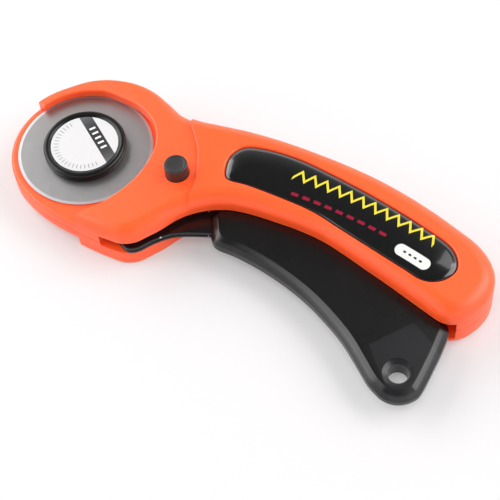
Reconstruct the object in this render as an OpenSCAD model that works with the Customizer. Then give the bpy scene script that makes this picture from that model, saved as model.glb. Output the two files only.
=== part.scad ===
// Squeeze-handled rotary cutter for cloth: a round blade on a pivoting trigger,
// held between two moulded shells that guard its edge.
// The origin is the middle of the footprint, on the plane that the rear face rests on.
// +X runs along the handle from the blade, +Y is the back of the hand, +Z is the blade side.

/* [Blade] */
// Radius of the blade
blade_r = 22.5; // [22:0.1:22.8]
// Thickness of the blade
blade_t = 0.3; // [0.25:0.05:0.4]
// Radius of the bore in the blade
blade_bore_r = 4; // [3.9:0.1:4.2]
// Radius of the guard plate behind the blade
guard_r = 25; // [24.5:0.1:25.5]

/* [Squeeze] */
// Angle that the trigger turns from open to fully squeezed
squeeze_deg = 11; // [6:1:11]
// Radius of the pivot pin
pivot_r = 2.5; // [2:0.1:2.7]
// Radial gap where one part turns or slides in another
run_gap = 0.05; // [0.03:0.01:0.08]

/* [Shells] */
// Height of the plane where the two shells meet
part_z = 8; // [7.8:0.1:8.2]
// Height of the handle's front face
face_z = 18.8; // [18.6:0.1:19]
// Height of the head's front face
head_z = 18; // [17.8:0.1:18.2]
// Wall round the hollow handle
wall = 3.2; // [2.8:0.1:3.4]

/* [Lock button] */
// Radius of the button
lock_r = 3.8; // [3.6:0.1:4]
// Distance that the button is pushed to lock the blade
lock_travel = 4; // [3:0.5:4]
// Height of the button's top when it is out
lock_top_z = 22.5; // [22:0.1:23]

/* [Trigger] */
// Radius of the hole to hang the cutter by
hang_r = 3.2; // [3:0.1:3.5]
// Thickness of the moulded grip
grip_t = 7.6; // [7:0.1:7.8]

/* [Hidden] */
$fn = 64;

// Axes that everything is placed by
blade_c = [-58.5, 8.5];
pivot_c = [-33, -10.5];
lock_c = [-23.7, 7.8];
hang_c = [66.7, -28.8];
screw_at = [[-36.5, 27], [1, 27.3], [37, 24.8], [79.2, 6]];

// Ends of the slot that the lever and the grip come out of
slot_x0 = -38.5;
slot_x1 = 77;

// Heights of the layers, from the rear face up
rear_ledge_z = 4;
plate_z0 = 6.8;
plate_z1 = 9.6;
plate_gap = 0.3;
arm_z0 = plate_z0 - plate_gap;
arm_z1 = plate_z1 + 0.4;
ledge_z = 11.8;
slot_z0 = 3.4;
slot_z1 = 11.75;
pocket_z = 15.2;
blade_z0 = ledge_z + 0.3;
blade_z1 = blade_z0 + blade_t;
boss_top_z = 11.2;
cap_z0 = blade_z1 + 0.05;
cap_z1 = cap_z0 + 3.05;
spring_z = 14.8;
collar_z1 = 15.8;
slot_mid_z = (slot_z0 + slot_z1) / 2;
far = 60;

// Radii of the spindle stack
cap_r = 13.7;
label_r = 11.2;
boss_r = 6;
shoulder_r = blade_bore_r - run_gap;
key_r = 3.6;
key_flat = 2.8;
thread_r = 2.9;
nut_r = 8;
collar_r = 5.4;
retainer_r = 6.6;
collar_t = 1.4;
// The collar comes to rest on the retainer when the button is pushed in
retainer_z = collar_z1 - collar_t - lock_travel - 0.1;
shank_r = 3;
spring_r = 5.4;
wire_r = 0.45;
screw_r = 1.4;

// Points on a circle about c, evenly spaced from angle a0 to a1
function ring_pts(c, r, a0, a1, n) =
    [for (i = [0:n]) let (a = a0 + (a1 - a0) * i / n) c + r * [cos(a), sin(a)]];

// Smooth closed curve through the points p
function at(p, i) = p[(i + len(p)) % len(p)];
function spline(p, steps) =
    [for (i = [0:len(p) - 1], s = [0:steps - 1])
        let (t = s / steps, a = at(p, i - 1), b = at(p, i), c = at(p, i + 1), d = at(p, i + 2))
        (2 * b + (c - a) * t + (2 * a - 5 * b + 4 * c - d) * t * t
            + (3 * b - a - 3 * c + d) * t * t * t) / 2];

// Anticlockwise closed curve moved inwards by d
function inset(p, d) =
    [for (i = [0:len(p) - 1])
        let (v = at(p, i + 1) - at(p, i - 1)) p[i] + d * [-v.y, v.x] / norm(v)];

// Where the blade's axis is when the trigger is squeezed by a
function turned(p, a) =
    let (v = p - pivot_c) pivot_c + [v.x * cos(a) - v.y * sin(a), v.x * sin(a) + v.y * cos(a)];
function bearing(p) = let (v = p - pivot_c) atan2(v.y, v.x);

// Outline of both shells: top of the handle, crescent, guard, lobe round the pivot, finger side
body_ctrl = concat(
    [[78.7, 16], [73.6, 19.6], [66.9, 22.3], [58, 25.5], [47, 28.7], [36, 31], [25, 32.4],
     [13.5, 33.2], [2, 33.5], [-9.5, 33], [-19.5, 31.8], [-27, 30.9], [-33.5, 31.5],
     [-39.5, 34], [-46, 36.4], [-52.5, 37.2], [-58.8, 36.5], [-64.8, 34.8], [-70, 31.9]],
    ring_pts(blade_c, guard_r, 132, 246, 9),
    [[-62.5, -16.8], [-55, -18.6], [-47, -19.7], [-39.5, -20.4]],
    ring_pts(pivot_c, 10.1, -96, -28, 4),
    [[-21, -10.8], [-17.8, -5.3], [-14, -1.1], [-9, 2.4], [-3, 4.7], [4, 5.6], [12, 5.8],
     [20, 5.7], [28, 4.8], [36, 2.8], [44, 0.3], [52, -2.1], [60, -4.7], [67, -7],
     [72.6, -8.5], [77.2, -7.3], [80.6, -3.6], [82.8, 1.2], [83.5, 6.2], [82.2, 11.4]]);
body_pts = spline(body_ctrl, 2);

// Rim of the raised head face, round the blade and down to the step beside the lobe
rim_pts = concat(
    ring_pts(blade_c, 21.8, 157, 96, 5),
    [[-51.6, 29.3], [-45.4, 27.3], [-39.7, 23.1], [-36, 16.8], [-34.9, 9.5], [-35.7, 1.6],
     [-38.6, -6.3], [-42.3, -13.3], [-44.9, -17.2], [-45.8, -19]]);
ledge_zone = concat(rim_pts, [[-45.8, -40], [-100, -40], [-100, 26]]);

// Where the head face stops and the slightly higher handle face starts
head_zone = [[-28.5, 60], [-28.5, 28.1], [-25.4, 23.7], [-22.6, 20.1], [-20.3, 16], [-18.1, 11.1],
             [-16.7, 6], [-16.1, 1.3], [-15, -3], [-15, -40], [-100, -40], [-100, 60]];

// Long inlay in the handle's face
label_pts = spline([[-9.9, 15.3], [-7.4, 11.2], [0, 11.4], [11.9, 10.9], [23, 9.8], [34.4, 6.8],
    [45.7, 3.8], [56, 1.1], [63.6, -0.6], [69.2, 2], [71.4, 7.7], [67.3, 13.7], [57.2, 17.5],
    [45.8, 20.7], [34.5, 23.3], [23.2, 25.4], [11.9, 27], [1.2, 27], [-7, 25.1], [-10.2, 20.5]], 2);

// Flat lever: spindle arm, pivot end, lock slot and the tang inside the grip
plate_pts = spline(concat(
    ring_pts(blade_c, 10, 60, 235, 6),
    [[-54, -4.6], [-41, -13.7], [-36.5, -15.8], [-31.6, -18.9], [-28.6, -19.9], [-25.6, -18.3],
     [-22.3, -13.8], [-17.8, -9.4], [-11, -6.2], [-3, -4], [10, -4], [24, -7], [40, -13.5],
     [51, -20], [54.5, -19.5], [53, -14.5], [40, -6.5], [24, 0], [10, 3.6], [-2, 4.4],
     [-10, 6.5], [-15.3, 12.5], [-22, 16.6], [-32, 16.8], [-43, 16.8]]), 2);

// Moulded grip
grip_pts = spline(concat(
    [[-9.6, 1], [-8, -2.2], [-6.1, -5.4], [-3.2, -7.6], [3.5, -8], [12, -9.3], [21, -11.6],
     [30, -14.8], [38.5, -19], [46.5, -23.9], [53.6, -29.6], [58.8, -34]],
    ring_pts(hang_c, 8.5, 236, 346, 5),
    [[75.5, -23], [75.7, -14.5], [75, -8.3], [70.4, -5], [57, 0], [43, 4.6], [27, 8.8],
     [11, 10], [-1.5, 8.6], [-7.8, 5.6]]), 2);

// Straight-sided solid with the outline p
module prism(p, z0, z1) {
    translate([0, 0, z0]) linear_extrude(z1 - z0) polygon(p);
}

// Solid with rounded rims: each tier is [bottom, top, how far the outline p is drawn in]
module tiers(p, list) {
    for (t = list) prism(inset(p, t[2]), t[0], t[1]);
}

// Disc on the axis c
module disc(c, r, z0, z1) {
    translate([c.x, c.y, z0]) cylinder(r = r, h = z1 - z0);
}

// Ring on the axis c
module washer(c, r_in, r_out, z0, z1) {
    difference() {
        disc(c, r_out, z0, z1);
        disc(c, r_in, z0 - 1, z1 + 1);
    }
}

// Space swept by a disc at c as the trigger turns about the pivot from a0 to a1
module swept_slot(c, r, a0, a1, z0, z1) {
    reach = norm(c - pivot_c);
    for (a = [a0, a1]) disc(turned(c, a), r, z0, z1);
    translate([pivot_c.x, pivot_c.y, z0]) rotate([0, 0, bearing(c) + a0])
        rotate_extrude(angle = a1 - a0) translate([reach - r, 0]) square([2 * r, z1 - z0]);
}

// Space inside the outline p, kept to the box from x0 to x1
module inside(p, d, x0, x1, z0, z1) {
    intersection() {
        prism(inset(p, d), z0, z1);
        translate([x0, -far, z0 - 1]) cube([x1 - x0, 2 * far, z1 - z0 + 2]);
    }
}

// Room for the lever and the trigger, the same in both shells
module trigger_room() {
    inside(body_ctrl, 3, -90, -12, arm_z0, arm_z1);
    prism([[slot_x0, -far], [slot_x0, -12], [-26, -8], [-17, 4.5], [-8, 9], [-8, -far]],
          arm_z0, slot_z1);
    inside(body_ctrl, wall, -16, slot_x1, slot_z0, slot_z1);
    prism([[-15, -far], [-15, 6], [-5, 10], [24, 9.8], [44, 5], [60, 0], [slot_x1, -1],
           [slot_x1, -far]], slot_z0, slot_z1);
}

// Hole and boss for each shell screw
module screw_holes(r, z0, z1) {
    for (p = screw_at) disc(p, r, z0, z1);
}
module screw_bosses(z0, z1) {
    for (i = [1, 2]) disc(screw_at[i], 3, z0, z1);
}

module front_shell() {
    color("orangered") difference() {
        union() {
            difference() {
                tiers(body_pts, [[part_z, 15.6, 0], [15.6, 17.2, 0.8], [17.2, face_z, 2.2]]);
                prism(ledge_zone, ledge_z, face_z + 1);
                disc(blade_c, blade_r + 0.9, ledge_z, blade_z1 + 0.6);
                // The head face falls gently towards the nose
                translate([-15, 0, head_z]) rotate([0, -2.2, 0]) translate([15, 0, 0])
                    prism(head_zone, 0, 5);
                trigger_room();
                inside(body_ctrl, wall, -8, 75, slot_z1 - 1, pocket_z);
                disc(pivot_c, 6.4, part_z, spring_z);
                disc(lock_c, collar_r + 0.4, part_z, collar_z1 + 0.1);
                disc(lock_c, retainer_r, part_z, retainer_z);
                swept_slot(blade_c, boss_r + 0.6, 0, squeeze_deg, part_z, ledge_z + 1);
                prism(label_pts, face_z - 1.2, face_z + 1);
                // Slot that holds the spring's fixed leg
                translate([pivot_c.x, pivot_c.y, spring_z - 1.6]) rotate([0, 0, 40])
                    translate([3, -0.7, 0]) cube([6.6, 1.4, 1.6]);
            }
            disc(pivot_c, 3.9, plate_z1 + 0.3, spring_z + 0.5);
            screw_bosses(part_z, pocket_z + 0.5);
        }
        disc(pivot_c, pivot_r + run_gap, part_z, 16.6);
        disc(lock_c, lock_r + run_gap, part_z, face_z + 1);
        screw_holes(screw_r + 0.05, part_z - 1, 14.5);
    }
}

module rear_shell() {
    color("orangered") difference() {
        union() {
            difference() {
                tiers(body_pts, [[0, 0.9, 2.2], [0.9, 2.4, 0.7], [2.4, part_z, 0]]);
                prism(ledge_zone, -1, rear_ledge_z);
                trigger_room();
            }
            screw_bosses(slot_z0 - 0.5, part_z);
        }
        disc(pivot_c, pivot_r + run_gap, 1.4, part_z + 1);
        disc(lock_c, shank_r + run_gap, -1, part_z);
        swept_slot(blade_c, nut_r + 0.9, 0, squeeze_deg, rear_ledge_z - 1, part_z);
        screw_holes(screw_r + 0.3, -1, part_z + 1);
        screw_holes(2.8, -1, 3);
    }
}

module handle_label() {
    color([0.08, 0.09, 0.08]) tiers(label_pts,
        [[face_z - 1.2, face_z + 0.2, 0.15], [face_z + 0.2, face_z + 0.6, 1.4]]);
}

module shell_screws() {
    color("silver") for (p = screw_at) difference() {
        union() {
            disc(p, 2.6, 1, 3);
            disc(p, screw_r, 3, 14);
        }
        translate([p.x - 1.6, p.y - 0.35, 0.5]) cube([3.2, 0.7, 1.4]);
        translate([p.x - 0.35, p.y - 1.6, 0.5]) cube([0.7, 3.2, 1.4]);
    }
}

module pivot_pin() {
    color("silver") disc(pivot_c, pivot_r, 1.5, 16.5);
}

// Flanged bush pressed in the lever's pivot hole
module pivot_bush() {
    color("ivory") difference() {
        union() {
            disc(pivot_c, 4, plate_z0, plate_z1);
            disc(pivot_c, 5.2, arm_z0 + 0.05, plate_z0);
            disc(pivot_c, 5.2, plate_z1, plate_z1 + 0.25);
        }
        disc(pivot_c, pivot_r + run_gap, 0, 12);
    }
}

// Round wire swept along a path of points
module wire(path, r, sides) {
    n = len(path);
    rings = [for (i = [0:n - 1])
        let (v = path[min(i + 1, n - 1)] - path[max(i - 1, 0)], t = v / norm(v),
             u0 = cross(t, abs(t.z) > 0.9 ? [1, 0, 0] : [0, 0, 1]), u = u0 / norm(u0),
             w = cross(t, u))
        for (k = [0:sides - 1]) let (a = 360 * k / sides) path[i] + r * (cos(a) * u + sin(a) * w)];
    skin = [for (i = [0:n - 2], k = [0:sides - 1])
        let (j = (k + 1) % sides)
        [i * sides + k, i * sides + j, (i + 1) * sides + j, (i + 1) * sides + k]];
    polyhedron(points = rings, faces = concat(
        [[for (k = [sides - 1:-1:0]) k]],
        [[for (k = [0:sides - 1]) (n - 1) * sides + k]], skin));
}

// Torsion spring round the pivot: one leg in the lever, the other in the front shell
module return_spring() {
    turns = 3.5;
    start = 220;
    rise = 1.02;
    low_z = plate_z1 + 1;
    coil = [for (a = [0:20:turns * 360])
        [pivot_c.x + spring_r * cos(start + a), pivot_c.y + spring_r * sin(start + a),
         low_z + rise * a / 360]];
    leg_c = pivot_c + 6.7 * [cos(200), sin(200)];
    color("silver") wire(concat(
        [[leg_c.x, leg_c.y, plate_z0 + 0.8], [leg_c.x, leg_c.y, low_z - 0.5],
         [leg_c.x + 0.5, leg_c.y - 0.8, low_z]],
        coil,
        [[pivot_c.x + 9 * cos(40), pivot_c.y + 9 * sin(40), low_z + rise * turns]]),
        wire_r, 8);
}

module lever_plate() {
    color([0.12, 0.12, 0.13]) difference() {
        union() {
            prism(plate_pts, plate_z0, plate_z1);
            disc(blade_c, boss_r, plate_z1 - 1, boss_top_z);
        }
        // Keyed hole for the spindle bolt
        intersection() {
            disc(blade_c, key_r + 0.05, 0, 20);
            translate([blade_c.x - far, blade_c.y - key_flat - 0.05, 0])
                cube([2 * far, 2 * key_flat + 0.1, 20]);
        }
        disc(pivot_c, 4, 0, 20);
        swept_slot(lock_c, shank_r + 0.4, -squeeze_deg, 0, 0, 20);
        disc(pivot_c + 6.7 * [cos(200), sin(200)], wire_r + 0.2, 0, 20);
    }
}

module trigger_grip() {
    z0 = slot_mid_z - grip_t / 2;
    z1 = slot_mid_z + grip_t / 2;
    color([0.14, 0.14, 0.15]) difference() {
        tiers(grip_pts, [[z0, z0 + 0.7, 1.8], [z0 + 0.7, z0 + 2, 0.5], [z0 + 2, z1 - 2, 0],
                         [z1 - 2, z1 - 0.7, 0.5], [z1 - 0.7, z1, 1.8]]);
        prism(plate_pts, plate_z0, plate_z1);
        disc(hang_c, hang_r, 0, 20);
        for (s = [0, 1]) translate([hang_c.x, hang_c.y, s ? z0 : z1]) mirror([0, 0, s])
            translate([0, 0, -1.2]) cylinder(r1 = hang_r, r2 = 4.8, h = 1.3);
    }
}

// Cross-lock button: head outside the front shell, collar behind it, shank through the lever
module lock_button() {
    color([0.2, 0.19, 0.19]) difference() {
        union() {
            disc(lock_c, lock_r, collar_z1 - 1, lock_top_z - 0.5);
            translate([lock_c.x, lock_c.y, lock_top_z - 0.5])
                cylinder(r1 = lock_r, r2 = lock_r - 0.5, h = 0.5);
            disc(lock_c, collar_r, collar_z1 - collar_t, collar_z1);
            disc(lock_c, shank_r, 0.4, collar_z1 - 1);
        }
        washer(lock_c, 2.2, 4, 4.6, 5.8);
    }
}

// Rubber ring that holds the button where it is pushed
module lock_ring() {
    color([0.1, 0.1, 0.1]) translate([lock_c.x, lock_c.y, 5.2]) rotate_extrude()
        translate([2.62, 0]) circle(r = 0.4);
}

// Ring pressed into the mouth of the front shell's pocket, which keeps the button in
module lock_retainer() {
    color("silver") washer(lock_c, shank_r + 0.3, retainer_r - 0.05, plate_z1 + 0.3, retainer_z);
}

// Spindle bolt: head in the cap, round shoulder for the blade, keyed shank and thread
module spindle_bolt() {
    color("silver") union() {
        disc(blade_c, 8, cap_z0 + 0.6, cap_z0 + 1.8);
        disc(blade_c, shoulder_r, boss_top_z, cap_z0 + 0.7);
        intersection() {
            disc(blade_c, key_r, plate_z0, boss_top_z);
            translate([blade_c.x - far, blade_c.y - key_flat, 0])
                cube([2 * far, 2 * key_flat, 20]);
        }
        disc(blade_c, thread_r, 1.4, plate_z0);
    }
}

// Moulded cap on the bolt's head, with a groove round it and a raised lip
module bolt_cap() {
    h = cap_z1 - cap_z0;
    color([0.1, 0.1, 0.11]) difference() {
        translate([blade_c.x, blade_c.y, cap_z0]) rotate_extrude()
            polygon([[0, 0], [cap_r - 0.3, 0], [cap_r, 0.3], [cap_r, 0.8], [cap_r - 0.3, 1],
                     [cap_r, 1.2], [cap_r, h - 0.5], [cap_r - 0.5, h], [label_r + 0.6, h],
                     [label_r + 0.1, h - 0.6], [0, h - 0.6]]);
        disc(blade_c, 8, cap_z0 + 0.6, cap_z0 + 1.8);
        disc(blade_c, shoulder_r, cap_z0 - 1, cap_z0 + 1);
    }
}

module cap_label() {
    color("white") disc(blade_c, label_r, cap_z1 - 0.6, cap_z1 - 0.45);
}

// Disc ground to an edge from both sides
module blade() {
    bevel = 1.3;
    color([0.6, 0.6, 0.61]) translate([blade_c.x, blade_c.y, blade_z0]) rotate_extrude($fn = 128)
        polygon([[blade_bore_r, 0], [blade_r - bevel, 0], [blade_r, blade_t / 2 - 0.02],
                 [blade_r, blade_t / 2 + 0.02], [blade_r - bevel, blade_t],
                 [blade_bore_r, blade_t]]);
}

module blade_washer() {
    color([0.15, 0.15, 0.15])
        washer(blade_c, shoulder_r + 0.05, boss_r, boss_top_z + 0.02, blade_z0 - 0.05);
}

module wave_washer() {
    color("silver") washer(blade_c, thread_r + 0.3, 6.2, plate_z0 - 0.6, plate_z0 - 0.02);
}

module flat_washer() {
    color("silver") washer(blade_c, thread_r + 0.2, 6.8, plate_z0 - 1.2, plate_z0 - 0.62);
}

// Finger nut with grooves round its rim
module spindle_nut() {
    grooves = 20;
    color("silver") difference() {
        union() {
            disc(blade_c, nut_r, 2, plate_z0 - 1.22);
            disc(blade_c, 5, 1.6, 2.5);
        }
        disc(blade_c, thread_r + 0.02, 0, 12);
        for (i = [0:grooves - 1]) let (a = 360 * i / grooves)
            disc(blade_c + (nut_r + 0.3) * [cos(a), sin(a)], 0.7, 1, 5);
    }
}

front_shell();
rear_shell();
handle_label();
shell_screws();
pivot_pin();
pivot_bush();
return_spring();
lever_plate();
trigger_grip();
lock_button();
lock_ring();
lock_retainer();
spindle_bolt();
bolt_cap();
cap_label();
blade();
blade_washer();
wave_washer();
flat_washer();
spindle_nut();
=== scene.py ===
import math

import bmesh
import bpy
from mathutils import Matrix, Vector


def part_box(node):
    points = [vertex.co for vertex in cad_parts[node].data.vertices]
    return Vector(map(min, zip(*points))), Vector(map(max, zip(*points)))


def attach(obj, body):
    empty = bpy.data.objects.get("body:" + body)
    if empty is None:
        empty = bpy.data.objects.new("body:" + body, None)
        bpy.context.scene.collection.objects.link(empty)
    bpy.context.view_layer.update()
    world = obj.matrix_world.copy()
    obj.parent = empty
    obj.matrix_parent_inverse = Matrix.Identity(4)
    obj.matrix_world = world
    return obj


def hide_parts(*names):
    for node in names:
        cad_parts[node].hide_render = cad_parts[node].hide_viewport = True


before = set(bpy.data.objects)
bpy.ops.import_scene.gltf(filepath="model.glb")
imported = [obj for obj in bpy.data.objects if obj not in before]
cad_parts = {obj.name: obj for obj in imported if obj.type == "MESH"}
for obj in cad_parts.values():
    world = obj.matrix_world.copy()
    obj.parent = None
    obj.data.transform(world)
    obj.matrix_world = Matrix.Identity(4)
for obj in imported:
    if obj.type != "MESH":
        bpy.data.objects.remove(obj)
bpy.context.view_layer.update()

# ---------------------------------------------------------------------------------------
# Rear shell: the lower half of the body, moulded in orange ABS, hollow for the lever and
# open along the finger side. Its outline is the whole cutter's: handle, crescent over the
# blade, guard and a lobe round the pivot. Shapes are in millimetres until they are set in.
# ---------------------------------------------------------------------------------------
MM = 0.001


def axis_of(node):
    """Where the axis of a round node stands, in millimetres."""
    low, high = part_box(node)
    return ((low + high) / 2 / MM).to_2d()


blade_axis = axis_of("blade")
pivot_axis = axis_of("pivot_pin")
lock_axis = axis_of("lock_button")
hang_axis = Vector((66.7, -28.8))
joint_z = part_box("rear_shell")[1].z / MM
face_z = 18.8
slot_z0, slot_z1 = 3.4, 11.75
slot_x0, slot_x1 = -38.5, 77
squeeze = math.radians(11)
screw_places = [Vector(p) for p in ((-36.5, 27), (1, 27.3), (37, 24.8), (79.2, 6))]
guard_r = 25
lobe_r = 10.1


def arc(centre, radius, start, end, chords):
    """Points on an arc, its ends given in degrees."""
    turn = [math.radians(start + (end - start) * i / chords) for i in range(chords + 1)]
    return [centre + radius * Vector((math.cos(a), math.sin(a))) for a in turn]


def circle(centre, radius, chords=72):
    return arc(centre, radius, 0, 360, chords)[:-1]


def flow(marks, steps, closed=True):
    """Smooth curve through the marks."""
    marks = [Vector(m) for m in marks]
    count = len(marks)
    if not closed:
        marks = [marks[0]] + marks + [marks[-1]]
    line = []
    for i in range(count if closed else count - 1):
        a, b, c, d = (marks[(i + k) % len(marks)] for k in ((-1, 0, 1, 2) if closed else range(4)))
        for s in range(steps):
            t = s / steps
            line.append((2 * b + (c - a) * t + (2 * a - 5 * b + 4 * c - d) * t * t
                         + (3 * b - a - 3 * c + d) * t ** 3) / 2)
    return line if closed else line + [marks[-2]]


def drawn_in(loop, depth):
    """An anticlockwise loop moved inwards, or outwards if the depth is negative."""
    moved = []
    for i, p in enumerate(loop):
        along = (loop[(i + 1) % len(loop)] - loop[i - 1]).normalized()
        moved.append(p + depth * Vector((-along.y, along.x)))
    return moved


def placed(loop, level, share):
    """A level's points. Where it names a face, each point's share says how round the edge is."""
    height, depth, *face = level
    moved = drawn_in(loop, depth)
    if not face:
        return [(*p, height) for p in moved]
    return [(*p.lerp(q, s), face[0] + (height - face[0]) * s) for p, q, s in zip(loop, moved, share)]


def stack(loop, levels, share=()):
    """Closed solid: a loop extruded up through levels of (height, how far it is drawn in)."""
    form = bmesh.new()
    ring = [form.verts.new(p) for p in placed(loop, levels[0], share)]
    form.faces.new(ring)
    edges = [form.edges.get((ring[i - 1], ring[i])) for i in range(len(ring))]
    for level in levels[1:]:
        raised = bmesh.ops.extrude_edge_only(form, edges=edges)["geom"]
        edges = [g for g in raised if isinstance(g, bmesh.types.BMEdge)]
        above = {v for v in raised if isinstance(v, bmesh.types.BMVert)}
        ring = [next(e.other_vert(v) for e in v.link_edges if e.other_vert(v) in above) for v in ring]
        for v, p in zip(ring, placed(loop, level, share)):
            v.co = p
    form.faces.new(ring)
    bmesh.ops.recalc_face_normals(form, faces=form.faces)
    return form


def smooth(value, low, high):
    """0 below the lower limit, 1 above the upper one, and an even way between."""
    t = min(1, max(0, (value - low) / (high - low)))
    return t * t * (3 - 2 * t)


def quarter(radius_in, radius_up, steps):
    """Steps round a moulded rim, as (drop from the face, how far in), from the wall up."""
    turn = [math.pi / 2 * i / steps for i in range(steps + 1)]
    return [(radius_up * (1 - math.sin(a)), radius_in * (1 - math.cos(a))) for a in turn]


def body_of(form, name="tool"):
    """Object made from a form, which is then let go."""
    mesh = bpy.data.meshes.new(name)
    form.to_mesh(mesh)
    form.free()
    thing = bpy.data.objects.new(name, mesh)
    bpy.context.collection.objects.link(thing)
    return thing


def carve(block, form, action="DIFFERENCE"):
    """Cuts a form out of the block, or joins it on."""
    tool = body_of(form)
    step = block.modifiers.new("carve", "BOOLEAN")
    step.operation, step.object, step.solver = action, tool, "EXACT"
    seen = block.evaluated_get(bpy.context.evaluated_depsgraph_get())
    shaped = bpy.data.meshes.new_from_object(seen)
    block.modifiers.clear()
    block.data = shaped
    bpy.data.objects.remove(tool)


def lipped(loop, deep, face, lip):
    """Tool for an opening in a face, whose rim it leaves rounded."""
    way = 1 if face > deep else -1
    rim = [(face - way * drop, -out) for drop, out in quarter(lip, lip, 5)]
    return stack(loop, [(deep, 0)] + rim + [(face + way * 4, -lip)])


def kept_between(form, low_x, high_x):
    """The part of a form between two heights of X, closed again where it was cut."""
    for place, side in ((low_x, -1), (high_x, 1)):
        whole = form.verts[:] + form.edges[:] + form.faces[:]
        cut = bmesh.ops.bisect_plane(form, geom=whole, plane_co=(place, 0, 0),
                                     plane_no=(side, 0, 0), clear_outer=True)
        rim = [g for g in cut["geom_cut"] if isinstance(g, bmesh.types.BMEdge)]
        bmesh.ops.holes_fill(form, edges=rim)
    bmesh.ops.recalc_face_normals(form, faces=form.faces)
    return form


def swept(centre, radius, start, end, low, high):
    """Slot that a disc sweeps as the trigger turns about the pivot."""
    arm = centre - pivot_axis
    lean = math.degrees(math.atan2(arm.y, arm.x))
    a0, a1 = lean + math.degrees(start), lean + math.degrees(end)
    near = pivot_axis + arm @ Matrix.Rotation(-start, 2).to_2x2()
    far = pivot_axis + arm @ Matrix.Rotation(-end, 2).to_2x2()
    loop = (arc(pivot_axis, arm.length + radius, a0, a1, 8)[1:-1]
            + arc(far, radius, a1, a1 + 180, 24)
            + arc(pivot_axis, arm.length - radius, a1, a0, 8)[1:-1]
            + arc(near, radius, a0 + 180, a0 + 360, 24))
    return stack(loop, [(low, 0), (high, 0)])


def pillar(centre, radius, low, high):
    return stack(circle(centre, radius), [(low, 0), (high, 0)])


outline_marks = (
    [(78.7, 16), (73.6, 19.6), (66.9, 22.3), (58, 25.5), (47, 28.7), (36, 31), (25, 32.4),
     (13.5, 33.2), (2, 33.5), (-9.5, 33), (-19.5, 31.8), (-27, 30.9), (-33.5, 31.5),
     (-39.5, 34), (-46, 36.4), (-52.5, 37.2), (-58.8, 36.5), (-64.8, 34.8), (-70, 31.9)]
    + arc(blade_axis, guard_r, 132, 246, 9)
    + [(-62.5, -16.8), (-55, -18.6), (-47, -19.7), (-39.5, -20.4)]
    + arc(pivot_axis, lobe_r, -96, -28, 4)
    + [(-21, -10.8), (-17.8, -5.3), (-14, -1.1), (-9, 2.4), (-3, 4.7), (4, 5.6), (12, 5.8),
       (20, 5.7), (28, 4.8), (36, 2.8), (44, 0.3), (52, -2.1), (60, -4.7), (67, -7),
       (72.6, -8.5), (77.2, -7.3), (80.6, -3.6), (82.8, 1.2), (83.5, 6.2), (82.2, 11.4)])
outline = flow(outline_marks, 6)
coarse = flow(outline_marks, 1)

# The blade's recess: its rim runs under the crescent, round the blade and out beside the lobe
rim_line = flow(
    arc(blade_axis, 21.8, 157, 96, 5)
    + [(-51.6, 29.3), (-45.4, 27.3), (-39.7, 23.1), (-36, 16.8), (-34.9, 9.5), (-35.7, 1.6),
       (-38.6, -6.3), (-42.8, -13.2), (-46, -16.6), (-47.2, -18.8)], 4, closed=False)
recess_ends = [Vector(p) for p in ((-47.2, -40), (-100, -40), (-100, 26))]
recess = (rim_line + recess_ends)[::-1]
side_wall, back_wall = 3.2, 3


def carve_rooms(shell):
    """Room for the lever and the grip, the same in both shells."""
    arm_z0, arm_z1 = 6.5, 10
    arm_room = stack(coarse, [(arm_z0, back_wall), (arm_z1, back_wall)])
    grip_room = stack(coarse, [(slot_z0, side_wall), (slot_z1, side_wall)])
    carve(shell, kept_between(arm_room, -90, -12))
    carve(shell, kept_between(grip_room, -16, slot_x1))
    arm_way = [(slot_x0, -60), (-8, -60), (-8, 9), (-17, 4.5), (-26, -8), (slot_x0, -12)]
    grip_way = [(-15, -60), (slot_x1, -60), (slot_x1, -1), (60, 0), (44, 5), (24, 9.8),
                (-5, 10), (-15, 6)]
    carve(shell, stack([Vector(p) for p in arm_way], [(arm_z0, 0), (slot_z1, 0)]))
    carve(shell, stack([Vector(p) for p in grip_way], [(slot_z0, 0), (slot_z1, 0)]))


def blank_finish(name):
    """A new material, with its node tree and its shader."""
    skin = bpy.data.materials.new(name)
    skin.use_nodes = True
    return skin, skin.node_tree, skin.node_tree.nodes["Principled BSDF"]


def coordinates(tree, kind="Object"):
    """Texture coordinates, as an output socket."""
    return tree.nodes.new("ShaderNodeTexCoord").outputs[kind]


def cloud(tree, place, scale, detail=2):
    """Noise over a place socket, as an output socket."""
    node = tree.nodes.new("ShaderNodeTexNoise")
    node.inputs["Scale"].default_value = scale
    node.inputs["Detail"].default_value = detail
    tree.links.new(place, node.inputs["Vector"])
    return node.outputs["Fac"]


def ranged(tree, value, limits, to_limits, way="LINEAR"):
    """A value brought from one range to another, as an output socket."""
    node = tree.nodes.new("ShaderNodeMapRange")
    node.interpolation_type = way
    for name, limit in zip(("From Min", "From Max", "To Min", "To Max"), limits + to_limits):
        node.inputs[name].default_value = limit
    tree.links.new(value, node.inputs["Value"])
    return node.outputs["Result"]


def inked(tree, under, ink, mask):
    """Colour socket with an ink laid over it where the mask is 1."""
    node = tree.nodes.new("ShaderNodeMix")
    node.data_type = "RGBA"
    for name, value in (("Factor", mask), ("A", under), ("B", ink)):
        if isinstance(value, tuple):
            node.inputs[name].default_value = (*value, 1)
        else:
            tree.links.new(value, node.inputs[name])
    return node.outputs["Result"]


def bumped(tree, shader, height, strength, distance):
    """Roughens the shader's surface by a height socket."""
    bump = tree.nodes.new("ShaderNodeBump")
    bump.inputs["Strength"].default_value = strength
    bump.inputs["Distance"].default_value = distance
    tree.links.new(height, bump.inputs["Height"])
    tree.links.new(bump.outputs["Normal"], shader.inputs["Normal"])


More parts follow.
